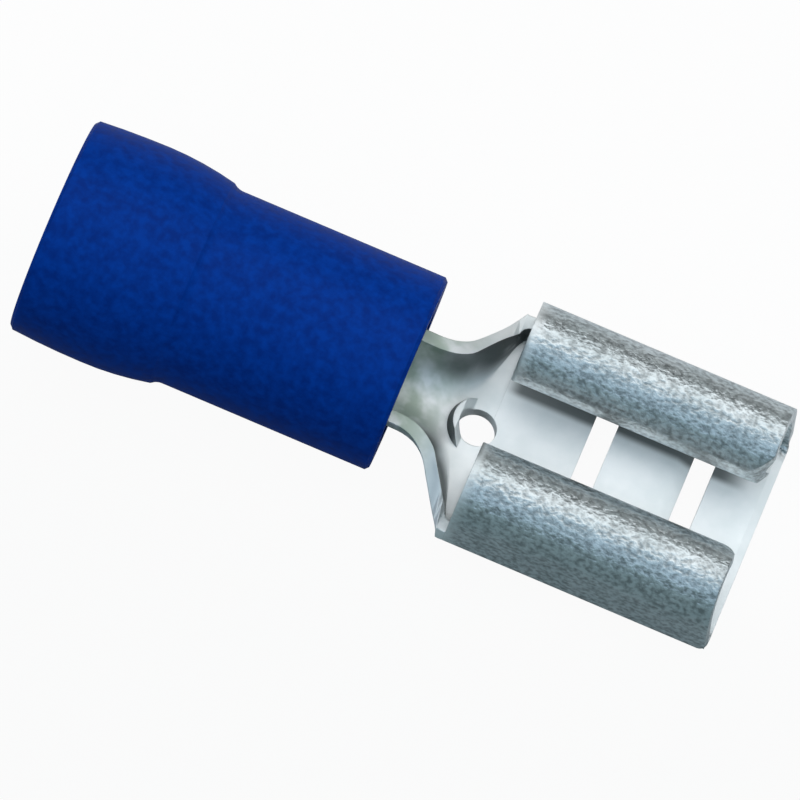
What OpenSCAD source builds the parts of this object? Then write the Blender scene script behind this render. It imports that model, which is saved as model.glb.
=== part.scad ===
/* [Sheet metal] */
// Thickness of the tinned brass sheet that the terminal is stamped from
sheet = 0.4; // [0.3:0.05:0.45]
// Slant of the front edges of the rolled wings, in degrees
wing_slant = 6.5; // [4:0.5:12]

/* [Receptacle] */
// Width over the two rolls
rec_w = 7.5; // [7.2:0.1:8.2]
// Height from the underside of the base to the top of the rolls
rec_h = 3.08; // [2.9:0.02:3.4]
// Length of the base, from the neck to the mouth
rec_len = 8.2; // [7.8:0.05:9]
// Inside radius of the bend between the base and the side walls
corner_r = 0.15; // [0.1:0.05:0.3]
// Outside radius of the roll, over its top
roll_r = 1.3; // [1.15:0.05:1.4]
// Outside radius where the lip curls in towards the tab
lip_r = 0.7; // [0.6:0.05:0.9]
// Turn of the roll before it tightens into the lip, in degrees
roll_turn = 165; // [150:1:170]
// Turn of the lip, in degrees
lip_turn = 45; // [35:1:50]
// Clear height between the floor and the edge of the lip
tab_gap = 0.85; // [0.75:0.05:1]
// Distance of the wings behind the front edge of the base
wing_setback = 0.04; // [0.02:0.01:0.2]
// Rounding of the lips at the mouth, seen from above
lip_round = 1; // [0.5:0.05:1.2]
// Rounding of the lips at the rear, seen from above
lip_rear_round = 0.25; // [0.15:0.05:0.45]
// Rounding of the front corners of the base
base_round = 0.5; // [0.2:0.05:0.6]
// Length of the coined lead-in along the front edge of the floor
lead_in = 0.25; // [0.15:0.01:0.35]
// Drop of the coined lead-in at the front edge
lead_drop = 0.15; // [0.08:0.01:0.2]

/* [Latch bridge] */
// Distance from the mouth to the near edge of the front slot
slot_setback = 1.76; // [1.4:0.02:2.2]
// Width of the front slot
front_slot = 0.66; // [0.5:0.02:0.8]
// Width of the rear slot
rear_slot = 0.69; // [0.5:0.01:0.8]
// Length of both slots across the floor
slot_len = 4.6; // [4:0.1:5.2]
// Length of the raised bridge between the slots
bridge_len = 2.38; // [2:0.02:2.8]
// Rise of the bridge over the floor
bridge_rise = 0.22; // [0.1:0.02:0.3]
// Length of the ramp on the mouth side of the bridge
bridge_ramp = 0.43; // [0.3:0.01:0.6]
// Width of the slope at each end of the bridge
bridge_slope = 0.7; // [0.5:0.05:1]

/* [Neck] */
// Length of the open trough in front of the barrel
trough_len = 0.52; // [0.3:0.02:0.8]
// Turn of the trough's side walls, in degrees
trough_turn = 88; // [80:1:89]
// Height of the barrel's underside over that of the base
barrel_lift = 0.25; // [0:0.05:0.4]
// Height of the flared side walls over the underside of the base
neck_wall = 0.95; // [0.85:0.05:1.3]
// Radius, seen from above, where the side walls start to flare
neck_fillet = 1.5; // [1.2:0.05:1.7]
// Angle of the flared side walls to the wire's axis, seen from above
neck_flare = 56; // [50:1:60]
// Radius, seen from above, where the flared walls meet those of the receptacle
neck_round = 0.35; // [0.3:0.05:0.5]
// Inside radius of the flared neck, in section
flare_r = 1.7; // [1.4:0.05:1.9]
// Length over which that radius tightens into the bends of the receptacle
tighten_len = 0.9; // [0.7:0.05:1.2]
// Radius of the relief notch between the barrel and the trough
relief_r = 0.13; // [0.08:0.01:0.18]
// Diameter of the pierced hole in the neck
hole_d = 1.16; // [0.9:0.02:1.3]
// Distance of the hole's centre behind the rear end of the receptacle
hole_back = 0.35; // [0.25:0.01:0.5]
// Height of the raised wire stop over the floor
stop_h = 0.45; // [0.3:0.05:0.6]
// Thickness of the wire stop at its foot
stop_foot = 0.34; // [0.28:0.02:0.4]
// Thickness of the wire stop at its top
stop_top = 0.2; // [0.15:0.01:0.25]

/* [Wire barrel] */
// Bore of the barrel, for the bare strands
barrel_bore = 2.4; // [2.2:0.1:2.6]
// Length of the barrel, from its rear end to the neck
barrel_len = 6; // [5.5:0.1:7]
// Width of the butted seam along the top of the barrel
seam = 0.06; // [0.04:0.01:0.1]
// Slant of the barrel's front edges, in degrees
barrel_slant = 19; // [12:1:24]
// Depth of the grip grooves inside the barrel
groove_depth = 0.07; // [0.04:0.01:0.1]
// Width of each grip groove
groove_w = 0.4; // [0.3:0.05:0.5]
// Number of grip grooves
groove_count = 3; // [1:1:4]
// Distance between grip grooves
groove_pitch = 1.3; // [1:0.05:1.4]

/* [Support sleeve] */
// Wall of the brass support sleeve
support_wall = 0.3; // [0.25:0.05:0.35]
// Bore of its bell, for the wire's insulation
bell_bore = 4.5; // [4.3:0.1:4.7]
// Length of the straight part of the bell
bell_len = 0.8; // [0.5:0.1:1.1]
// Length of the taper between the bell and the tube
bell_taper = 1.6; // [1.2:0.1:1.8]
// Distance of the taper behind the rear end of the barrel
bell_start = 0.3; // [0.2:0.05:0.5]
// Distance of the sleeve's front end behind that of the vinyl
support_setback = 0.3; // [0.2:0.05:0.6]

/* [Insulating sleeve] */
// Length of the vinyl sleeve
vinyl_len = 11.1; // [10.8:0.1:12]
// Distance of the barrel's front end inside that of the vinyl
barrel_in = 0.2; // [0.1:0.05:0.4]
// Outside diameter over the barrel
vinyl_od = 6; // [5.8:0.1:6.1]
// Outside diameter of the bell at its widest ring
vinyl_bell_od = 6.7; // [6.6:0.1:7]
// Outside diameter at the wire end
vinyl_end_od = 6.5; // [6.3:0.1:6.5]
// Outside diameter at the front end of the bell, over the shoulder
shoulder_od = 6.25; // [6.2:0.05:6.35]
// Distance from the wire end to the widest ring
widest_at = 2.25; // [2:0.05:2.6]
// Distance from the wire end to the shoulder
shoulder_at = 4.35; // [4.1:0.05:4.6]
// Radius of the hollow in front of the shoulder
shoulder_fillet = 0.5; // [0.3:0.05:0.8]
// Bore of the wire end
entry_bore = 4.5; // [4.3:0.1:4.7]
// Bevel of the outer edges at both ends
vinyl_bevel = 0.1; // [0.05:0.01:0.15]
// Radial clearance between pieces that fit into each other
fit = 0.02; // [0.01:0.01:0.04]

/* [Hidden] */
$fn = 96;
over = 1;           // how far a cutter reaches past what it cuts

barrel_r = barrel_bore / 2 + sheet;
axis_h = barrel_r + barrel_lift;  // the barrel's axis over the underside of the base

// Half width of the neck's side walls, at the middle of the sheet, at either end
trough_r = barrel_r - sheet / 2;
trough_half = trough_r * sin(trough_turn);
box_half = rec_w / 2 - sheet / 2;

// Seen from above a side wall is an arc, a straight flank and an arc back
flank_width = box_half - trough_half - (neck_fillet + neck_round) * (1 - cos(neck_flare));
neck_len = (neck_fillet + neck_round) * sin(neck_flare) + flank_width / tan(neck_flare);
flare_x = barrel_len + trough_len;
base_x = flare_x + neck_len;
mouth_x = base_x + rec_len;
front_slot_x = mouth_x - slot_setback - front_slot;
bridge_x = front_slot_x - bridge_len;
rear_slot_x = bridge_x - rear_slot;
vinyl_front = barrel_len + barrel_in;
vinyl_rear = vinyl_front - vinyl_len;

corner_out = corner_r + sheet;
base_half = rec_w / 2 - corner_out;

function polar(r, a) = [r * cos(a), r * sin(a)];

// Profiles drawn across the part, (y, z), and along it, (x, z)
module along_x(length) rotate([90, 0, 90]) linear_extrude(length) children();
module across(width) rotate([90, 0, 0]) linear_extrude(width, center = true) children();
module turned() rotate([0, 90, 0]) rotate_extrude() children();
module both_sides() { children(); mirror([0, 1, 0]) children(); }

// ---- Bent sheet, drawn in section -----------------------------------------

// Bend of the sheet about the origin, from straight down round by `turn`
module bend(inside, turn) {
    reach = 2 * (inside + sheet);
    intersection() {
        difference() { circle(inside + sheet); circle(inside); }
        polygon([[0, 0], for (k = [0 : 3]) polar(reach, -90 + turn * k / 3)]);
    }
}

// Strip of sheet that follows steps of [straight run, inside radius, turn]
module strip(steps, i = 0) {
    if (i < len(steps)) {
        run = steps[i][0];
        inside = steps[i][1];
        turn = steps[i][2];
        if (run > 0) square([run, sheet]);
        translate([run, sheet + inside]) {
            if (turn > 0) bend(inside, turn);
            rotate(turn) translate([0, -sheet - inside]) strip(steps, i + 1);
        }
    }
}

// One wing: up the side wall, over in the roll, and down in the lip
roll_z = rec_h - roll_r;
lip_low_z = roll_z + (roll_r - lip_r) * sin(roll_turn) + lip_r * sin(roll_turn + lip_turn);
lip_run = (lip_low_z - sheet - tab_gap) / -cos(roll_turn + lip_turn);
wing = [
    [0, corner_r, 90],
    [roll_z - corner_out, roll_r - sheet, roll_turn],
    [0, lip_r - sheet, lip_turn],
    [lip_run, 0, 0]
];

module receptacle_section() {
    translate([-base_half, 0]) square([2 * base_half, sheet]);
    translate([base_half, 0]) strip(wing);
    mirror([1, 0]) translate([base_half, 0]) strip(wing);
}

// ---- Receptacle -----------------------------------------------------------

lip_y = rec_w / 2 - roll_r + (roll_r - lip_r) * cos(roll_turn) - lip_r;
slant = tan(wing_slant);

// What the slanted front edges of the wings leave free over the base
module wing_fronts() {
    top = rec_h + over;
    front = mouth_x - wing_setback;
    across(rec_w + over)
        polygon([[front + over, sheet], [front, sheet],
                 [front - slant * (top - sheet), top], [front + over, top]]);
}

// What rounds a corner at the origin off to radius r, seen from above
module corner_cut(r) {
    difference() {
        square(r + over / 2);
        circle(r);
    }
}

module lip_corners() {
    top_y = lip_y + lip_round;
    lip_front = mouth_x - wing_setback - slant * (rec_h - roll_r - sheet);
    translate([0, 0, sheet + tab_gap / 2]) linear_extrude(rec_h) {
        translate([lip_front - lip_round, top_y]) mirror([0, 1]) corner_cut(lip_round);
        translate([base_x + lip_rear_round, lip_y + lip_rear_round])
            mirror([1, 0]) mirror([0, 1]) corner_cut(lip_rear_round);
    }
}

module base_corners() {
    translate([mouth_x - base_round, rec_w / 2 - base_round, -over])
        linear_extrude(over + corner_out) corner_cut(base_round);
}

module lead_in_cut() {
    across(2 * base_half)
        polygon([[mouth_x - lead_in, sheet], [mouth_x + over, sheet],
                 [mouth_x + over, sheet - lead_drop], [mouth_x, sheet - lead_drop]]);
}

module floor_window() {
    translate([rear_slot_x, -slot_len / 2, -over])
        cube([mouth_x - slot_setback - rear_slot_x, slot_len, over + sheet]);
}

// Solid below the bridge's upper face, moved down by `drop`
module below_bridge(drop) {
    low = sheet - drop;
    high = low + bridge_rise;
    half = slot_len / 2;
    intersection() {
        across(slot_len)
            polygon([[bridge_x, -over], [bridge_x, high],
                     [front_slot_x - bridge_ramp, high], [front_slot_x, low],
                     [front_slot_x, -over]]);
        translate([bridge_x, 0, 0]) along_x(bridge_len)
            polygon([[-half, -over], [-half, low], [bridge_slope - half, high],
                     [half - bridge_slope, high], [half, low], [half, -over]]);
    }
}

module latch_bridge() difference() { below_bridge(0); below_bridge(sheet); }

module receptacle() {
    difference() {
        translate([base_x, 0, 0]) along_x(rec_len) receptacle_section();
        wing_fronts();
        both_sides() lip_corners();
        both_sides() base_corners();
        lead_in_cut();
        floor_window();
    }
    latch_bridge();
}

// ---- Neck -----------------------------------------------------------------

// The trough flares out to the width of the receptacle. Each section is a flat
// floor, a bend and a side wall, drawn through the middle of the sheet. At both
// ends the neck runs on into its neighbour, a hair thinner than that is.
tuck = 0.01;
tuck_len = 0.08;
trough_rows = 2;
arc_rows = 8;
flank_rows = 6;

function smooth(u) = let (v = min(1, max(0, u))) (1 - cos(180 * v)) / 2;
function mix(a, b, u) = a + (b - a) * u;

flank_x = flare_x + neck_fillet * sin(neck_flare);
round_x = base_x - neck_round * sin(neck_flare);
neck_rows = concat(
    [barrel_len - tuck_len],
    [for (i = [0 : trough_rows - 1]) barrel_len + trough_len * i / trough_rows],
    [for (i = [0 : arc_rows - 1]) flare_x + neck_fillet * sin(neck_flare * i / arc_rows)],
    [for (i = [0 : flank_rows - 1]) mix(flank_x, round_x, i / flank_rows)],
    [for (i = [0 : arc_rows]) base_x - neck_round * sin(neck_flare * (1 - i / arc_rows))],
    [base_x + tuck_len]
);

function half_at(x) =
    x < flare_x ? trough_half
    : x < flank_x ? trough_half + neck_fillet - sqrt(pow(neck_fillet, 2) - pow(x - flare_x, 2))
    : x < round_x ? trough_half + neck_fillet * (1 - cos(neck_flare)) + (x - flank_x) * tan(neck_flare)
    : x < base_x ? box_half - neck_round + sqrt(pow(neck_round, 2) - pow(base_x - x, 2))
    : box_half;

corner_mid = corner_r + sheet / 2;
function along(x) = smooth((x - flare_x) / neck_len);
function radius_at(x) =
    mix(mix(trough_r, flare_r + sheet / 2, along(x)), corner_mid,
        smooth((x - base_x + tighten_len) / tighten_len));
function height_at(x) = mix(trough_r * (1 - cos(trough_turn)), neck_wall - sheet / 2, along(x));
function lift_at(x) = barrel_lift * (1 - smooth((x - barrel_len) / (base_x - barrel_len)));

// A section's [half of its floor, bend radius, turn of the bend, straight wall]
function section_at(x) =
    let (r = radius_at(x), h = height_at(x), turn = h < r ? acos(1 - h / r) : 90)
    [half_at(x) - r * sin(turn), r, turn, max(0, h - r)];

function arc_len(r, turn) = r * turn * PI / 180;
function half_len(c) = c[0] + arc_len(c[1], c[2]) + c[3];

// Point of the middle layer at x and at the share t of the way to the edge
function middle_point(x, t) =
    let (c = section_at(x), s = abs(t) * half_len(c),
         turn = min(c[2], max(0, s - c[0]) / c[1] * 180 / PI),
         wall = max(0, s - c[0] - arc_len(c[1], c[2])))
    [x, sign(t) * (min(s, c[0]) + c[1] * sin(turn)),
     lift_at(x) + sheet / 2 + c[1] * (1 - cos(turn)) + wall];

// Half the sheet's thickness is measured square to its surface, but laid off in
// the plane of the section, so it grows where the surface slopes, as far as on the
// flared walls. The underside stays over that of the base.
least_share = pow(cos(neck_flare), 2);
step_x = 0.002;
step_t = 0.001;
function unit(v) = v / norm(v);
function layer_point(x, t, side) =
    let (tucked = x < barrel_len + tuck || x > base_x - tuck,
         dx = tucked ? [1, 0, 0] : middle_point(x + step_x, t) - middle_point(x - step_x, t),
         dt = middle_point(x, min(1, t + step_t)) - middle_point(x, max(-1, t - step_t)),
         normal = unit(cross(dx, dt)),
         share = max(least_share, 1 - pow(normal.x, 2)),
         half = side * (sheet / 2 - (tucked ? tuck : 0)) / share,
         middle = middle_point(x, t))
    [x, middle.y + half * normal.y, max(0, middle.z + half * normal.z)];

// Columns of the mesh: so many on half the floor, on a bend and on a side wall.
// Where there is no flat floor or straight wall, a strip of the bend stands for it.
floor_columns = 7;
bend_columns = 7;
wall_columns = 2;
least_floor = 0.6;
least_wall = 0.12;
function half_columns(c) =
    let (whole = half_len(c), floor_end = max(c[0], least_floor),
         bend_end = whole - max(c[3], least_wall))
    concat(
        [for (k = [1 : floor_columns]) floor_end * k / floor_columns],
        [for (k = [1 : bend_columns]) mix(floor_end, bend_end, k / bend_columns)],
        [for (k = [1 : wall_columns]) mix(bend_end, whole, k / wall_columns)]
    ) / whole;
function columns_at(x) =
    let (half = half_columns(section_at(x)))
    concat([for (k = [len(half) - 1 : -1 : 0]) -half[k]], [0], half);

module neck() {
    count = 2 * (floor_columns + bend_columns + wall_columns) + 1;
    rows = len(neck_rows);
    ring = 2 * count;
    // each row runs out along the lower face and back along the upper one
    points = [for (x = neck_rows)
        let (shares = columns_at(x))
        each concat([for (j = [0 : count - 1]) layer_point(x, shares[j], -1)],
                    [for (j = [count - 1 : -1 : 0]) layer_point(x, shares[j], 1)])];
    skin = [for (i = [0 : rows - 2], j = [0 : ring - 1])
        let (a = i * ring + j, b = i * ring + (j + 1) % ring)
        each [[a, b + ring, b], [a, a + ring, b + ring]]];
    last = (rows - 1) * ring;
    ends = [for (j = [0 : count - 2])
        let (k = ring - 1 - j)
        each [[j, k - 1, k], [j, j + 1, k - 1],
              [last + j, last + k, last + k - 1], [last + j, last + k - 1, last + j + 1]]];
    polyhedron(points, concat(skin, ends));
}

// Crescent of sheet pushed up behind the hole, which stops the wire's strands
module wire_stop() {
    hole_r = hole_d / 2;
    foot_r = hole_r + stop_foot;
    top_z = sheet + stop_h;
    intersection() {
        rotate_extrude()
            polygon([[hole_r / 2, sheet / 2], [foot_r, sheet / 2], [foot_r, sheet],
                     [hole_r + stop_top, top_z], [hole_r / 2, top_z]]);
        across(2 * foot_r)
            polygon([[-foot_r, 0], [-foot_r, top_z], [-hole_r, top_z],
                     [-hole_r / 2, sheet], [-hole_r / 2, 0]]);
    }
}

// ---- Wire barrel ----------------------------------------------------------

edge_z = axis_h - trough_r * cos(trough_turn);

module barrel() {
    top = axis_h + barrel_r + over;
    difference() {
        translate([0, 0, axis_h]) rotate([0, 90, 0]) difference() {
            cylinder(h = barrel_len, r = barrel_r);
            translate([0, 0, -over]) cylinder(h = barrel_len + 2 * over, d = barrel_bore);
            for (i = [0 : groove_count - 1])
                translate([0, 0, barrel_len / 2 + (i - (groove_count - 1) / 2) * groove_pitch])
                    cylinder(h = groove_w, d = barrel_bore + 2 * groove_depth, center = true);
        }
        translate([-over, -seam / 2, axis_h]) cube([barrel_len + 2 * over, seam, top]);
        across(2 * barrel_r + over)
            polygon([[barrel_len, edge_z], [barrel_len + over, edge_z], [barrel_len + over, top],
                     [barrel_len - (top - edge_z) * tan(barrel_slant), top]]);
    }
}

// ---- Pieces ---------------------------------------------------------------

// Stamped and rolled from one blank: barrel, neck and receptacle
module terminal_body() {
    color("lightgray") translate([0, 0, -axis_h]) difference() {
        union() {
            barrel();
            neck();
            receptacle();
            translate([base_x - hole_back, 0, 0]) wire_stop();
        }
        translate([base_x - hole_back, 0, -over]) cylinder(h = over + rec_h, d = hole_d);
        translate([barrel_len, 0, edge_z]) across(2 * barrel_r + over) circle(relief_r);
    }
}

// Outline of a tube with a bell behind it, in (radius, x)
support_front = vinyl_front - support_setback;
bell_rear = -bell_start - bell_taper - bell_len;
function belled(tube_r, bell_r, front) = [
    [0, front], [tube_r, front], [tube_r, -bell_start],
    [bell_r, -bell_start - bell_taper], [bell_r, bell_rear], [0, bell_rear]
];
support_bore_r = barrel_r + fit;

module support_sleeve() {
    color("goldenrod") turned() difference() {
        polygon(belled(support_bore_r + support_wall, bell_bore / 2 + support_wall, support_front));
        polygon(belled(support_bore_r, bell_bore / 2, support_front));
    }
}

// Part of the bell's outline from its widest ring to where it has fallen to end_r
module bell_arc(end_r, run) {
    fall = vinyl_bell_od / 2 - end_r;
    r = (run * run + fall * fall) / (2 * fall);
    intersection() {
        translate([vinyl_bell_od / 2 - r, 0]) circle(r, $fn = 360);
        square([vinyl_bell_od / 2, run]);
    }
}

module vinyl_outline() {
    step = (shoulder_od - vinyl_od) / 2;
    hollow = sqrt(step * (2 * shoulder_fillet - step));
    difference() {
        union() {
            translate([0, vinyl_rear + widest_at]) {
                bell_arc(shoulder_od / 2, shoulder_at - widest_at);
                mirror([0, 1]) bell_arc(vinyl_end_od / 2, widest_at);
            }
            translate([0, vinyl_rear + shoulder_at])
                square([vinyl_od / 2, vinyl_len - shoulder_at]);
            translate([0, vinyl_rear + shoulder_at]) difference() {
                square([shoulder_od / 2, hollow]);
                translate([vinyl_od / 2 + shoulder_fillet, hollow]) circle(shoulder_fillet);
            }
        }
        edge_bevel(vinyl_od / 2, vinyl_front, 1);
        edge_bevel(vinyl_end_od / 2, vinyl_rear, -1);
    }
}

module edge_bevel(r, x, side) {
    polygon([[r - vinyl_bevel, x], [r, x - side * vinyl_bevel],
             [r + over, x - side * vinyl_bevel], [r + over, x + side * over], [r - vinyl_bevel, x + side * over]]);
}

module insulating_sleeve() {
    color("royalblue") turned() difference() {
        vinyl_outline();
        polygon(belled(support_bore_r + support_wall + fit,
                       bell_bore / 2 + support_wall + fit, vinyl_front + over));
        translate([0, vinyl_rear - over])
            square([entry_bore / 2, bell_rear - vinyl_rear + 2 * over]);
    }
}

terminal_body();
support_sleeve();
insulating_sleeve();
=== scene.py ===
"""Finishes and stage of an insulated female spade terminal.

The frame holds every solid of the terminal. This script gives each its
finish, and sets up the white table, the studio light and the camera.
"""

import math

import bpy
from mathutils import Matrix, Vector

bl_info = {
    "name": "Female Spade Terminal",
    "version": (1, 0, 0),
    "blender": (4, 5, 0),
    "location": "View3D > Sidebar > Terminal",
    "description": "Finishes an insulated female spade terminal and sets it on a white table",
    "category": "Object",
}

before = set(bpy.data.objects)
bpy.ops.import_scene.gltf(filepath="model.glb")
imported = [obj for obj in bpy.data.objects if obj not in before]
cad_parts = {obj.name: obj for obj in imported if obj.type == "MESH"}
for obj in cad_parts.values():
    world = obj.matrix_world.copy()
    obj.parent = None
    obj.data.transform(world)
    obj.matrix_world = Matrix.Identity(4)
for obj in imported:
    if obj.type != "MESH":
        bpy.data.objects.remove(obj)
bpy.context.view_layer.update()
MM = 0.001

# Places on the stamping, in mm: the mouth, the heel where neck and receptacle
# meet, the underside, and the outside of the side walls
BASE_LENGTH = 8.2
STAMPING = [vertex.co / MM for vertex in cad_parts["terminal_body"].data.vertices]
MOUTH = max(point.x for point in STAMPING)
HEEL = MOUTH - BASE_LENGTH
BOTTOM = min(point.z for point in STAMPING)
SIDE = max(point.y for point in STAMPING if point.x > HEEL + 1)

# The part of its range that nearly all of a random pattern lies in
PATTERN_LOW = 0.3
PATTERN_HIGH = 0.7


# ---- Small tools ------------------------------------------------------------


def linear(code):
    """The linear colour of an sRGB hex value such as "0A4696"."""
    parts = [int(code[i : i + 2], 16) / 255 for i in (0, 2, 4)]
    return tuple(p / 12.92 if p <= 0.04045 else ((p + 0.055) / 1.055) ** 2.4 for p in parts)


def rgba(colour):
    return (*colour, 1.0)


def add_node(tree, kind, settings=None, links=None, stops=None):
    """Adds a node with its own values and sockets from settings, its links and a ramp's stops."""
    node = tree.nodes.new(kind)
    attributes = {k: v for k, v in (settings or {}).items() if isinstance(k, str) and hasattr(node, k)}
    for name, value in attributes.items():
        setattr(node, name, value)
    for name, value in (settings or {}).items():
        if name not in attributes:
            node.inputs[name].default_value = value
    for name, source in (links or {}).items():
        tree.links.new(source, node.inputs[name])
    for index, (place, colour) in enumerate(stops or []):
        element = node.color_ramp.elements[index] if index < 2 else node.color_ramp.elements.new(place)
        element.position = place
        element.color = rgba(colour)
    return node


def new_material(name):
    """An empty node material, with its tree and its output."""
    material = bpy.data.materials.new(name)
    material.use_nodes = True
    material.node_tree.nodes.clear()
    output = add_node(material.node_tree, "ShaderNodeOutputMaterial")
    return material, material.node_tree, output


def real_size_patterns(tree, place, patches):
    """Random patterns, from the detail and the length, width and height of each one's patches."""
    patterns = {}
    for name, detail, sizes in patches:
        scale = tuple(1 / size for size in sizes)
        mapped = add_node(tree, "ShaderNodeMapping", {"Scale": scale}, {"Vector": place})
        pattern = add_node(
            tree,
            "ShaderNodeTexNoise",
            {"Scale": 1.0, "Detail": detail},
            {"Vector": mapped.outputs["Vector"]},
        )
        patterns[name] = pattern.outputs["Fac"]
    return patterns


def assign(node_name, material):
    """Puts one material on all of a CAD node."""
    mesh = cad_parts[node_name].data
    mesh.materials.clear()
    mesh.materials.append(material)
    mesh.polygons.foreach_set("material_index", [0] * len(mesh.polygons))


def smooth_facets(node_name, crease):
    """Shades the small facets of a CAD node as one surface, and keeps edges over crease sharp."""
    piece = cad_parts[node_name]
    bpy.context.view_layer.objects.active = piece
    bpy.ops.mesh.customdata_custom_splitnormals_clear()
    piece.data.polygons.foreach_set("use_smooth", [True] * len(piece.data.polygons))
    weld = piece.modifiers.new("weld", "WELD")
    weld.merge_threshold = 0.001 * MM
    split = piece.modifiers.new("creases", "EDGE_SPLIT")
    split.split_angle = crease
    normals = piece.modifiers.new("normals", "WEIGHTED_NORMAL")
    normals.keep_sharp = True


# ---- Finishes ---------------------------------------------------------------


class MetalFinish(bpy.types.PropertyGroup):
    """Tin plate on the stamped sheet."""

    tin: bpy.props.FloatVectorProperty(
        name="Tin",
        description="Colour of the clean tin plate",
        subtype="COLOR",
        size=3,
        min=0.0,
        max=1.0,
        default=linear("F6F9F9"),
    )
    dull: bpy.props.FloatVectorProperty(
        name="Dull Tin",
        description="Colour of the tin where it has gone grey",
        subtype="COLOR",
        size=3,
        min=0.0,
        max=1.0,
        default=linear("ECF1F1"),
    )
    burnished: bpy.props.FloatVectorProperty(
        name="Burnished Tin",
        description="What the rolls keep of the tin's colour, rubbed grey by their tools",
        subtype="COLOR",
        size=3,
        min=0.0,
        max=1.0,
        default=linear("DFE5E8"),
    )
    film: bpy.props.FloatVectorProperty(
        name="Oil Film",
        description="What the patches of stamping oil on the neck leave of the tin's colour",
        subtype="COLOR",
        size=3,
        min=0.0,
        max=1.0,
        default=linear("CED7CB"),
    )
    # painted shade: the colour that the inner walls by the heel, the floor under the lips and the back of
    # the wire stop are darkened to
    shade_colour: bpy.props.FloatVectorProperty(
        name="Shade Colour",
        description="What scraped walls and the floor under the lips keep of the tin's colour",
        subtype="COLOR",
        size=3,
        min=0.0,
        max=1.0,
        default=linear("818484"),
    )
    liner: bpy.props.FloatVectorProperty(
        name="Liner",
        description="Colour of the support sleeve",
        subtype="COLOR",
        size=3,
        min=0.0,
        max=1.0,
        default=linear("C9C6BC"),
    )
    matt: bpy.props.FloatProperty(
        name="Matt Share",
        description="How far the flat floor of the receptacle is matt white instead of metallic",
        min=0.0,
        max=1.0,
        default=1.0,
    )
    roughness: bpy.props.FloatProperty(
        name="Roughness",
        description="Roughness of the tin plate where the strip was left flat",
        min=0.05,
        max=1.0,
        default=0.6,
    )
    burnish: bpy.props.FloatProperty(
        name="Burnish",
        description="How much smoother the rolls have come off their tools",
        min=0.0,
        max=0.4,
        default=0.28,
    )
    cloud: bpy.props.FloatProperty(
        name="Cloud Size",
        description="Size of the grey clouds in the tin",
        unit="LENGTH",
        default=0.9 * MM,
    )
    pebble: bpy.props.FloatProperty(
        name="Pebble Size",
        description="Size of the orange peel on the rolled surfaces",
        unit="LENGTH",
        default=0.13 * MM,
    )
    peel_depth: bpy.props.FloatProperty(
        name="Peel Depth",
        description="Depth of the orange peel",
        unit="LENGTH",
        default=0.04 * MM,
    )
    line_depth: bpy.props.FloatProperty(
        name="Line Depth",
        description="Depth of the strip's rolling lines",
        unit="LENGTH",
        default=0.0015 * MM,
    )
    # painted shade: the distance within which close surfaces darken the tin's colour in folds and corners
    fold: bpy.props.FloatProperty(
        name="Fold Width",
        description="Width up to which a gap counts as a fold that holds dirt",
        unit="LENGTH",
        default=1.2 * MM,
    )
    edge: bpy.props.FloatProperty(
        name="Edge Rounding",
        description="Radius of the sheet's edges",
        unit="LENGTH",
        default=0.05 * MM,
    )
    crease: bpy.props.FloatProperty(
        name="Crease",
        description="Angle over which an edge of the stamping stays sharp",
        subtype="ANGLE",
        default=math.radians(28.0),
    )


class VinylFinish(bpy.types.PropertyGroup):
    """Moulded vinyl of the insulating sleeve."""

    blue: bpy.props.FloatVectorProperty(
        name="Blue",
        description="Colour of the vinyl",
        subtype="COLOR",
        size=3,
        min=0.0,
        max=1.0,
        default=linear("003389"),
    )
    deep: bpy.props.FloatVectorProperty(
        name="Deep Blue",
        description="Colour of the vinyl's darker patches",
        subtype="COLOR",
        size=3,
        min=0.0,
        max=1.0,
        default=linear("002773"),
    )
    roughness: bpy.props.FloatProperty(
        name="Roughness",
        description="Roughness of the vinyl",
        min=0.05,
        max=1.0,
        default=0.48,
    )
    mottle: bpy.props.FloatProperty(
        name="Mottle Size",
        description="Size of the darker and lighter patches",
        unit="LENGTH",
        default=0.28 * MM,
    )
    grain: bpy.props.FloatProperty(
        name="Grain Size",
        description="Size of the fine unevenness of the moulded skin",
        unit="LENGTH",
        default=0.11 * MM,
    )
    grain_depth: bpy.props.FloatProperty(
        name="Grain Depth",
        description="Depth of the fine unevenness",
        unit="LENGTH",
        default=0.006 * MM,
    )
    swell: bpy.props.FloatProperty(
        name="Swell Size",
        description="Size of the soft swell that the mould leaves",
        unit="LENGTH",
        default=1.6 * MM,
    )
    swell_depth: bpy.props.FloatProperty(
        name="Swell Depth",
        description="Depth of the soft swell",
        unit="LENGTH",
        default=0.03 * MM,
    )


# Bands on the stamping: what each is measured by, where it starts and where it is
# full. X, Z and the distance from the middle are in mm. "inward" is that distance
# times how far a face looks back to the middle, and "forward" is how far a face
# looks to the mouth.
BANDS = (
    ("neck", "X", HEEL - 0.75, HEEL - 2.35),
    ("flare", "X", HEEL - 2.95, HEEL - 1.05),
    ("stop_from", "X", HEEL - 1.75, HEEL - 1.45),
    ("stop_to", "X", HEEL - 0.25, HEEL - 0.55),
    ("behind_rolls", "X", HEEL + 0.15, HEEL - 0.05),
    ("base", "X", HEEL - 0.75, HEEL + 0.25),
    ("receptacle", "X", HEEL - 0.15, HEEL + 0.45),
    ("lips_to", "X", MOUTH - 0.55, MOUTH - 1.55),
    ("floor_height", "Z", BOTTOM + 1.25, BOTTOM + 0.85),
    ("wall_height", "Z", BOTTOM + 0.55, BOTTOM + 1.25),
    ("off_middle", "aside", 0.9, 1.3),
    ("near_middle", "aside", 1.3, 1.0),
    ("under_lips", "aside", 1.35, 1.62),
    ("outer_bend", "aside", SIDE - 0.95, SIDE - 0.55),
    ("between_bends", "aside", SIDE - 0.55, SIDE - 0.95),
    ("facing_in", "inward", -0.25, -0.9),
    ("facing_back", "forward", -0.3, -0.7),
)

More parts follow.
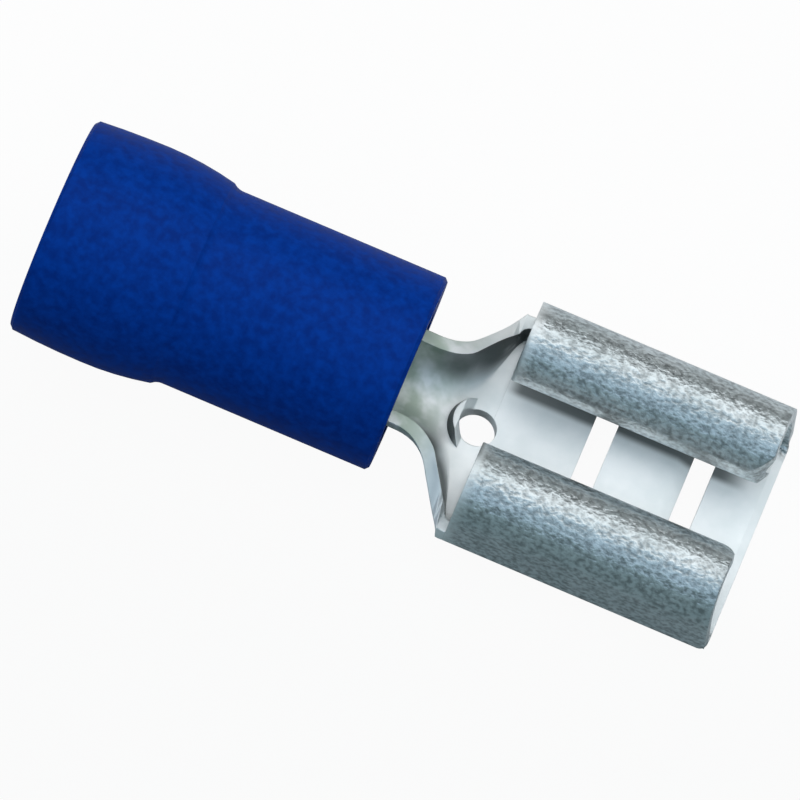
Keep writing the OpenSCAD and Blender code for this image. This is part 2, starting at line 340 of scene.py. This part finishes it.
# Zones of the finish: where all the bands overlap, or where any of the zones is
ZONES = (
    ("oily", "MULTIPLY", ("neck",)),
    ("flat", "MULTIPLY", ("base", "floor_height", "between_bends")),
    ("roll", "MULTIPLY", ("receptacle", "wall_height", "off_middle")),
    ("side", "MULTIPLY", ("receptacle", "outer_bend")),
    # painted shade: the next three zones darken the inner walls of the neck by the heel, the floor under
    # the lips and the back of the wire stop, where shade falls
    ("shaded", "MULTIPLY", ("facing_in", "flare", "behind_rolls")),
    ("lip_shadow", "MULTIPLY", ("receptacle", "lips_to", "under_lips", "between_bends", "floor_height")),
    ("stop_shade", "MULTIPLY", ("facing_back", "stop_from", "stop_to", "near_middle")),
    ("rolled", "MAXIMUM", ("roll", "side")),
    ("painted_shade", "MAXIMUM", ("shaded", "lip_shadow", "stop_shade")),
)


def worked_zones(tree, place):
    """How far each zone of the finish reaches, from 0 to 1."""
    in_mm = add_node(tree, "ShaderNodeVectorMath", {"operation": "SCALE", "Scale": 1 / MM}, {0: place})
    at = add_node(tree, "ShaderNodeSeparateXYZ", links={"Vector": in_mm.outputs["Vector"]}).outputs
    normal = add_node(tree, "ShaderNodeNewGeometry").outputs["Normal"]
    facing = add_node(tree, "ShaderNodeSeparateXYZ", links={"Vector": normal}).outputs
    aside = add_node(tree, "ShaderNodeMath", {"operation": "ABSOLUTE"}, {0: at["Y"]})
    inward = add_node(tree, "ShaderNodeMath", {"operation": "MULTIPLY"}, {0: at["Y"], 1: facing["Y"]})
    measures = {
        "X": at["X"],
        "Z": at["Z"],
        "aside": aside.outputs[0],
        "inward": inward.outputs[0],
        "forward": facing["X"],
    }
    zones = {}
    for name, measure, start, full in BANDS:
        band = {"interpolation_type": "SMOOTHSTEP", "From Min": start, "From Max": full}
        zones[name] = add_node(tree, "ShaderNodeMapRange", band, {"Value": measures[measure]}).outputs[0]
    for name, operation, parts in ZONES:
        zone = zones[parts[0]]
        for part in parts[1:]:
            zone = add_node(
                tree, "ShaderNodeMath", {"operation": operation}, {0: zone, 1: zones[part]}
            ).outputs[0]
        zones[name] = zone
    return zones


def tinned_brass(name, finish, clean):
    """Electro-tinned brass strip, rolled to shape.

    The tin is pale and matt where it was left flat, with grey clouds and, on the
    neck, greenish patches of oil. Where the strip was rolled it is darker,
    smoother and broken up by orange peel. Painted shade darkens the inner walls
    of the neck by the heel, the floor under the lips and the back of the wire
    stop, and more painted shade darkens folds and corners.
    """
    material, tree, output = new_material(name)
    place = add_node(tree, "ShaderNodeTexCoord").outputs["Object"]
    zones = worked_zones(tree, place)
    # the peel is drawn out a little along the roll, and the strip's rolling lines
    # are coarser than the real ones so that they show
    patterns = real_size_patterns(
        tree,
        place,
        (
            ("cloud", 3.0, (finish.cloud,) * 3),
            ("peel", 3.0, (1.3 * finish.pebble, finish.pebble, finish.pebble)),
            ("lines", 1.0, (3.0 * MM, 0.05 * MM, 0.05 * MM)),
        ),
    )
    pitted = tuple(channel / 2 for channel in finish.burnished)
    ramps = {
        "plate": (patterns["cloud"], ((0.35, finish.dull), (0.62, clean))),
        "film": (patterns["cloud"], ((0.4, finish.film), (0.6, linear("F9F9F9")))),
        "rubbed": (patterns["peel"], ((0.34, pitted), (0.6, finish.burnished))),
    }
    tones = {
        tone: add_node(tree, "ShaderNodeValToRGB", links={"Fac": pattern}, stops=stops).outputs["Color"]
        for tone, (pattern, stops) in ramps.items()
    }
    # painted shade: the tin's colour is darkened where other surfaces are close, in folds, corners and
    # under the lips
    openness = add_node(tree, "ShaderNodeAmbientOcclusion", {"samples": 8, "Distance": finish.fold})
    shade = add_node(
        tree,
        "ShaderNodeValToRGB",
        links={"Fac": openness.outputs["AO"]},
        stops=((0.3, linear("61615D")), (0.55, (1.0,) * 3)),
    )
    # each layer takes its share of the colour under it away
    layers = (
        ({}, {"Factor": zones["oily"], 7: tones["film"]}),
        # painted shade on the inner walls by the heel, under the lips and behind the wire stop
        ({7: rgba(finish.shade_colour)}, {"Factor": zones["painted_shade"]}),
        ({}, {"Factor": zones["rolled"], 7: tones["rubbed"]}),
        # painted shade in folds and corners
        ({"Factor": 1.0}, {7: shade.outputs["Color"]}),
    )
    colour = tones["plate"]
    for settings, links in layers:
        layer = {"data_type": "RGBA", "blend_type": "MULTIPLY", **settings}
        colour = add_node(tree, "ShaderNodeMix", layer, {6: colour, **links}).outputs[2]
    clouded = add_node(
        tree,
        "ShaderNodeMapRange",
        {
            "From Min": PATTERN_LOW,
            "From Max": PATTERN_HIGH,
            "To Min": finish.roughness + 0.06,
            "To Max": finish.roughness - 0.04,
        },
        {"Value": patterns["cloud"]},
    )
    gloss = add_node(
        tree,
        "ShaderNodeMath",
        {"operation": "MULTIPLY_ADD", 1: -finish.burnish},
        {0: zones["rolled"], 2: clouded.outputs["Result"]},
    )
    # fresh tin is matt and white where no tool has pressed it
    metallic = add_node(
        tree, "ShaderNodeMath", {"operation": "MULTIPLY_ADD", 1: -finish.matt, 2: 1.0}, {0: zones["flat"]}
    )
    rounded = add_node(tree, "ShaderNodeBevel", {"samples": 6, "Radius": finish.edge})
    peeled = add_node(
        tree,
        "ShaderNodeBump",
        {"Distance": finish.peel_depth},
        {"Strength": zones["rolled"], "Height": patterns["peel"], "Normal": rounded.outputs["Normal"]},
    )
    lined = add_node(
        tree,
        "ShaderNodeBump",
        {"Strength": 0.25, "Distance": finish.line_depth},
        {"Height": patterns["lines"], "Normal": peeled.outputs["Normal"]},
    )
    metal = add_node(
        tree,
        "ShaderNodeBsdfPrincipled",
        links={
            "Base Color": colour,
            "Metallic": metallic.outputs[0],
            "Roughness": gloss.outputs[0],
            "Normal": lined.outputs["Normal"],
        },
    )
    tree.links.new(metal.outputs["BSDF"], output.inputs["Surface"])
    return material


def moulded_vinyl(name, finish):
    """Injection moulded PVC: opaque and satin, with a fine mottle and a soft swell from the mould."""
    material, tree, output = new_material(name)
    place = add_node(tree, "ShaderNodeTexCoord").outputs["Object"]
    patterns = real_size_patterns(
        tree,
        place,
        (
            ("mottle", 6.0, (finish.mottle,) * 3),
            ("grain", 2.0, (finish.grain,) * 3),
            ("swell", 1.0, (finish.swell,) * 3),
        ),
    )
    colour = add_node(
        tree,
        "ShaderNodeValToRGB",
        links={"Fac": patterns["mottle"]},
        stops=((0.34, finish.deep), (0.66, finish.blue)),
    )
    gloss = add_node(
        tree,
        "ShaderNodeMapRange",
        {
            "From Min": PATTERN_LOW,
            "From Max": PATTERN_HIGH,
            "To Min": finish.roughness - 0.04,
            "To Max": finish.roughness + 0.06,
        },
        {"Value": patterns["mottle"]},
    )
    grained = add_node(
        tree,
        "ShaderNodeBump",
        {"Strength": 0.3, "Distance": finish.grain_depth},
        {"Height": patterns["grain"]},
    )
    swollen = add_node(
        tree,
        "ShaderNodeBump",
        {"Strength": 0.3, "Distance": finish.swell_depth},
        {"Height": patterns["swell"], "Normal": grained.outputs["Normal"]},
    )
    vinyl = add_node(
        tree,
        "ShaderNodeBsdfPrincipled",
        {"IOR": 1.53, "Specular IOR Level": 0.03},
        {
            "Base Color": colour.outputs["Color"],
            "Roughness": gloss.outputs["Result"],
            "Normal": swollen.outputs["Normal"],
        },
    )
    tree.links.new(vinyl.outputs["BSDF"], output.inputs["Surface"])
    return material


class TERMINAL_OT_metal(bpy.types.Operator):
    """Tin the stamped terminal body and the support sleeve"""

    bl_idname = "terminal.metal"
    bl_label = "Tin the Metal"

    def execute(self, context):
        finish = context.scene.terminal_metal
        smooth_facets("terminal_body", finish.crease)
        assign("terminal_body", tinned_brass("tinned_brass_strip", finish, finish.tin))
        assign("support_sleeve", tinned_brass("tinned_brass_tube", finish, finish.liner))
        return {"FINISHED"}


class TERMINAL_OT_vinyl(bpy.types.Operator):
    """Colour the insulating sleeve"""

    bl_idname = "terminal.vinyl"
    bl_label = "Colour the Vinyl"

    def execute(self, context):
        finish = context.scene.terminal_vinyl
        assign("insulating_sleeve", moulded_vinyl("moulded_blue_vinyl", finish))
        return {"FINISHED"}


# ---- Stage ------------------------------------------------------------------


class StageSettings(bpy.types.PropertyGroup):
    """Camera, table and light."""

    tilt: bpy.props.FloatProperty(
        name="Camera Tilt",
        description="How far the camera leans to the near side of the terminal, from straight above",
        subtype="ANGLE",
        default=math.radians(26.0),
    )
    swing: bpy.props.FloatProperty(
        name="Camera Swing",
        description="How far the camera leans towards the mouth of the receptacle",
        subtype="ANGLE",
        default=math.radians(1.0),
    )
    roll: bpy.props.FloatProperty(
        name="Camera Roll",
        description="Slope of the terminal in the picture, from level down to the right",
        subtype="ANGLE",
        default=math.radians(23.0),
    )
    width: bpy.props.FloatProperty(
        name="Picture Width",
        description="Width of what the camera sees at the terminal",
        unit="LENGTH",
        default=22.99 * MM,
    )
    distance: bpy.props.FloatProperty(
        name="Camera Distance",
        description="Distance from the camera to the terminal",
        unit="LENGTH",
        default=300 * MM,
    )
    aim: bpy.props.FloatVectorProperty(
        name="Aim",
        description="Point in the middle of the picture",
        subtype="TRANSLATION",
        size=3,
        default=(6.27 * MM, -0.85 * MM, 0.0),
    )
    shadow: bpy.props.FloatProperty(
        name="Table Shadow",
        description="Share of its real light and shadow that the white table shows",
        min=0.0,
        max=1.0,
        default=0.05,
    )
    table_in_metal: bpy.props.FloatProperty(
        name="Table in the Metal",
        description="Share of its real light and shadow that the table shows in the metal",
        min=0.0,
        max=1.0,
        default=0.95,
    )


def table_slope():
    """Slope of the table under the terminal, which lies on its base's front edge and its sleeve."""
    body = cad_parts["terminal_body"].data.vertices
    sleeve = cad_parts["insulating_sleeve"].data.vertices
    low = min(v.co.z for v in body)
    front = Vector((max(v.co.x for v in body if v.co.z < low + 0.01 * MM), 0.0, low))
    rise = max((front.z - v.co.z) / (front.x - v.co.x) for v in sleeve)
    return front, math.atan(rise)


def white_table(shadow, in_metal):
    """Matt card, graded from grey on the near side to white on the far side.

    The grade is there for the metal, which mirrors it: the grey near side is
    painted shade, the shade of the table on the near side. The eye sees the card
    brought near to pure white.
    """
    material, tree, output = new_material("shade_graded_card")
    rays = add_node(tree, "ShaderNodeLightPath")
    place = add_node(tree, "ShaderNodeTexCoord").outputs["Object"]
    axes = add_node(tree, "ShaderNodeSeparateXYZ", links={"Vector": place}).outputs
    far = add_node(
        tree,
        "ShaderNodeMapRange",
        {"interpolation_type": "SMOOTHSTEP", "From Min": -8.0 * MM, "From Max": 5.0 * MM},
        {"Value": axes["Y"]},
    )
    # the card's fibre is coarser than the real one so that it shows
    fibre = real_size_patterns(tree, place, [("fibre", 3.0, (0.6 * MM,) * 3)])["fibre"]
    # painted shade: the grey near side of the card stands in for the table's shade, which the metal
    # mirrors
    near_shade_tone, far_tone = (
        add_node(
            tree,
            "ShaderNodeValToRGB",
            links={"Fac": fibre},
            stops=((PATTERN_LOW, linear(dark)), (PATTERN_HIGH, linear(light))),
        )
        for dark, light in (("657679", "6C7C7E"), ("C8C8C8", "CECECE"))
    )
    tone = add_node(
        tree,
        "ShaderNodeMix",
        {"data_type": "RGBA"},
        {"Factor": far.outputs["Result"], 6: near_shade_tone.outputs["Color"], 7: far_tone.outputs["Color"]},
    )
    card = add_node(tree, "ShaderNodeBsdfDiffuse", links={"Color": tone.outputs[2]})
    white = add_node(tree, "ShaderNodeEmission", {"Color": rgba((1.0,) * 3), "Strength": 1.0})
    mirrored = add_node(
        tree,
        "ShaderNodeMath",
        {"operation": "MULTIPLY", 1: 1.0 - in_metal},
        {0: rays.outputs["Is Glossy Ray"]},
    )
    share = add_node(
        tree,
        "ShaderNodeMath",
        {"operation": "MULTIPLY_ADD", 1: 1.0 - shadow},
        {0: rays.outputs["Is Camera Ray"], 2: mirrored.outputs[0]},
    )
    mix = add_node(
        tree,
        "ShaderNodeMixShader",
        links={0: share.outputs[0], 1: card.outputs["BSDF"], 2: white.outputs["Emission"]},
    )
    tree.links.new(mix.outputs["Shader"], output.inputs["Surface"])
    return material


# Width of the table, in metres
TABLE_SIZE = 1.2

# Square lamps: the place of each from the point it lights and its width, both in
# metres, and its brightness, where 1 is white
SOFTBOXES = (
    ("top_softbox", (-0.02, 0.04, 0.24), 0.24, 0.95),
    ("near_softbox", (0.0, -0.16, 0.20), 0.20, 1.0),
)


def softbox(name, aim, offset, size, brightness):
    """One square lamp. The metal does not mirror it."""
    bpy.ops.object.light_add(type="AREA", location=aim + offset)
    lamp = bpy.context.object
    lamp.name = name
    lamp.rotation_euler = (-offset).to_track_quat("-Z", "Y").to_euler()
    lamp.data.size = size
    lamp.data.energy = brightness * math.pi * size * size
    lamp.visible_glossy = False


# The tent's walls and roof, by the angle from straight above, in degrees: below
# zero on the near side, over it on the far side.
TENT = (
    (-180, (0.22, 0.28, 0.29)),
    (-62, (0.21, 0.29, 0.31)),
    (-46, (0.50, 0.65, 0.78)),
    (-6, (0.52, 0.66, 0.76)),
    (8, (1.38, 1.40, 1.41)),
    (44, (1.38, 1.40, 1.41)),
    (49, (0.05, 0.06, 0.06)),
    (72, (0.08, 0.09, 0.09)),
    (82, (0.85, 0.86, 0.85)),
    (180, (0.90, 0.90, 0.89)),
)
# The dark room that shows through the tent's open ends
ROOM = (0.05, 0.06, 0.06)


def studio_world():
    """A light tent of panels that run along the terminal, white where the camera looks out."""
    world = bpy.data.worlds.new("light_tent")
    world.use_nodes = True
    tree = world.node_tree
    tree.nodes.clear()
    direction = add_node(tree, "ShaderNodeTexCoord").outputs["Generated"]
    axes = add_node(tree, "ShaderNodeSeparateXYZ", links={"Vector": direction}).outputs
    around = add_node(tree, "ShaderNodeMath", {"operation": "ARCTAN2"}, {0: axes["Y"], 1: axes["Z"]})
    turn = add_node(
        tree,
        "ShaderNodeMapRange",
        {"From Min": -math.pi, "From Max": math.pi},
        {"Value": around.outputs[0]},
    )
    panels = [((angle + 180) / 360, colour) for angle, colour in TENT]
    tent = add_node(
        tree,
        "ShaderNodeValToRGB",
        links={"Fac": turn.outputs["Result"]},
        stops=[panels[0], panels[-1], *panels[1:-1]],
    )
    # both ends of the tent are open, on a dark room
    lengthwise = add_node(tree, "ShaderNodeMath", {"operation": "ABSOLUTE"}, {0: axes["X"]}).outputs[0]
    past_the_end = add_node(
        tree,
        "ShaderNodeMapRange",
        {"interpolation_type": "SMOOTHSTEP", "From Min": 0.84, "From Max": 0.94},
        {"Value": lengthwise},
    )
    around_us = add_node(
        tree,
        "ShaderNodeMix",
        {"data_type": "RGBA", 7: rgba(ROOM)},
        {"Factor": past_the_end.outputs["Result"], 6: tent.outputs["Color"]},
    )
    rays = add_node(tree, "ShaderNodeLightPath")
    shown = add_node(
        tree,
        "ShaderNodeMix",
        {"data_type": "RGBA", 7: rgba((1.0,) * 3)},
        {"Factor": rays.outputs["Is Camera Ray"], 6: around_us.outputs[2]},
    )
    background = add_node(tree, "ShaderNodeBackground", {"Strength": 1.0}, {"Color": shown.outputs[2]})
    output = add_node(tree, "ShaderNodeOutputWorld")
    tree.links.new(background.outputs["Background"], output.inputs["Surface"])
    bpy.context.scene.world = world


class TERMINAL_OT_stage(bpy.types.Operator):
    """Set the table, the lamps and the camera"""

    bl_idname = "terminal.stage"
    bl_label = "Set the Stage"

    def execute(self, context):
        stage = context.scene.terminal_stage
        self.add_table(stage)
        self.add_lamps(stage)
        self.add_camera(context, stage)
        return {"FINISHED"}

    def add_table(self, stage):
        front, slope = table_slope()
        bpy.ops.object.select_all(action="DESELECT")
        bpy.ops.mesh.primitive_plane_add(size=TABLE_SIZE, location=front, rotation=(0.0, -slope, 0.0))
        table = bpy.context.object
        table.name = "white_table"
        table.data.materials.append(white_table(stage.shadow, stage.table_in_metal))

    def add_lamps(self, stage):
        for name, offset, size, brightness in SOFTBOXES:
            softbox(name, Vector(stage.aim), Vector(offset), size, brightness)
        studio_world()

    def add_camera(self, context, stage):
        # straight above, then leaning to the near side, then towards the mouth
        above = Vector((0.0, -math.sin(stage.tilt), math.cos(stage.tilt)))
        up = Vector((0.0, math.cos(stage.tilt), math.sin(stage.tilt)))
        along = Vector((1.0, 0.0, 0.0))
        back = above * math.cos(stage.swing) + along * math.sin(stage.swing)
        right = along * math.cos(stage.swing) - above * math.sin(stage.swing)
        turned_right = right * math.cos(stage.roll) + up * math.sin(stage.roll)
        turned_up = up * math.cos(stage.roll) - right * math.sin(stage.roll)
        bpy.ops.object.camera_add(location=Vector(stage.aim) + back * stage.distance)
        camera = bpy.context.object
        camera.name = "camera"
        camera.rotation_mode = "QUATERNION"
        turn = Matrix((turned_right, turned_up, back)).transposed()
        camera.rotation_quaternion = turn.to_quaternion()
        camera.data.sensor_width = 36.0
        camera.data.lens = camera.data.sensor_width * stage.distance / stage.width
        # far enough apart to hold all of the table in front of the camera
        camera.data.clip_start = stage.distance * 0.2
        camera.data.clip_end = stage.distance * 20
        context.scene.camera = camera
        context.scene.view_settings.view_transform = "Standard"


class TERMINAL_PT_sidebar(bpy.types.Panel):
    """Sizes, colours and steps of the terminal"""

    bl_label = "Spade Terminal"
    bl_idname = "TERMINAL_PT_sidebar"
    bl_space_type = "VIEW_3D"
    bl_region_type = "UI"
    bl_category = "Terminal"

    def draw(self, context):
        layout = self.layout
        for group, operator in STEPS:
            box = layout.box()
            settings = getattr(context.scene, group)
            for name in settings.__annotations__:
                box.prop(settings, name)
            box.operator(operator)


STEPS = (
    ("terminal_metal", "terminal.metal"),
    ("terminal_vinyl", "terminal.vinyl"),
    ("terminal_stage", "terminal.stage"),
)
GROUPS = {
    "terminal_metal": MetalFinish,
    "terminal_vinyl": VinylFinish,
    "terminal_stage": StageSettings,
}
CLASSES = (
    *GROUPS.values(),
    TERMINAL_OT_metal,
    TERMINAL_OT_vinyl,
    TERMINAL_OT_stage,
    TERMINAL_PT_sidebar,
)


def register():
    for cls in CLASSES:
        bpy.utils.register_class(cls)
    for name, group in GROUPS.items():
        setattr(bpy.types.Scene, name, bpy.props.PointerProperty(type=group))


def unregister():
    for name in GROUPS:
        delattr(bpy.types.Scene, name)
    for cls in reversed(CLASSES):
        bpy.utils.unregister_class(cls)


def main():
    """Builds the scene."""
    register()
    bpy.ops.terminal.metal()
    bpy.ops.terminal.vinyl()
    bpy.ops.terminal.stage()


if __name__ == "__main__":
    main()
